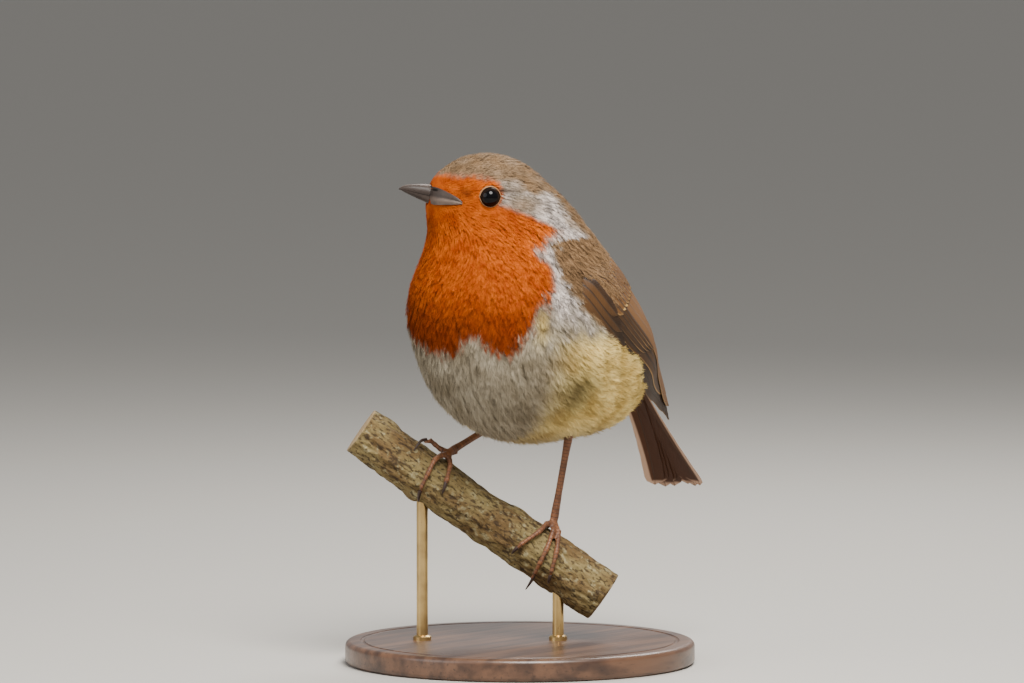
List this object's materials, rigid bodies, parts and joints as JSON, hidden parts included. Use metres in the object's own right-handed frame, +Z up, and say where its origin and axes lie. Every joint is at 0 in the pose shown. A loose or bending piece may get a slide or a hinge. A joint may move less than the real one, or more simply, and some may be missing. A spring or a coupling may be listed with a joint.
{
  "type": "european robin display model on a perch and stand",
  "caption": "Life-size plump songbird with an orange face and breast, gripping a short cut branch held by rods on a round base.",
  "frame": {"origin": "centre of the round base's underside", "axes": "+Z up; the bird's trunk faces -Y and its left side is +X"},
  "size_m": [0.092, 0.1116, 0.1358],
  "materials": {
    "brown_feathers": "soft olive-brown feathers",
    "orange_feathers": "soft orange feathers",
    "pale_feathers": "downy off-white feathers",
    "wing_feathers": "sleek brown flight feathers",
    "tail_feathers": "sleek dark brown flight feathers",
    "bill_horn": "satin dark horn",
    "claw_horn": "satin dark horn",
    "leg_skin": "scaled pink-brown skin",
    "eye": "wet black",
    "bark": "rough lichened bark",
    "stand_wood": "dark oiled turned wood",
    "stand_brass": "brushed brass"
  },
  "bodies": {
    "root": {"bill_lower": "bill_horn", "bill_upper": "bill_horn", "claw_left_hind": "claw_horn", "claw_left_inner": "claw_horn", "claw_left_middle": "claw_horn", "claw_left_outer": "claw_horn", "claw_right_hind": "claw_horn", "claw_right_inner": "claw_horn", "claw_right_middle": "claw_horn", "claw_right_outer": "claw_horn", "eye_left": "eye", "eye_right": "eye", "foot_pad_left": "leg_skin", "foot_pad_right": "leg_skin", "head": "brown_feathers", "neck": "orange_feathers", "perch_branch": "bark", "shank_left": "leg_skin", "shank_right": "leg_skin", "stand_base": "stand_wood", "stand_rod_1": "stand_brass", "stand_rod_2": "stand_brass", "tail": "tail_feathers", "toe_left_hind": "leg_skin", "toe_left_inner": "leg_skin", "toe_left_middle": "leg_skin", "toe_left_outer": "leg_skin", "toe_right_hind": "leg_skin", "toe_right_inner": "leg_skin", "toe_right_middle": "leg_skin", "toe_right_outer": "leg_skin", "trunk": "pale_feathers", "wing_left": "wing_feathers", "wing_right": "wing_feathers"}
  },
  "joints": []
}
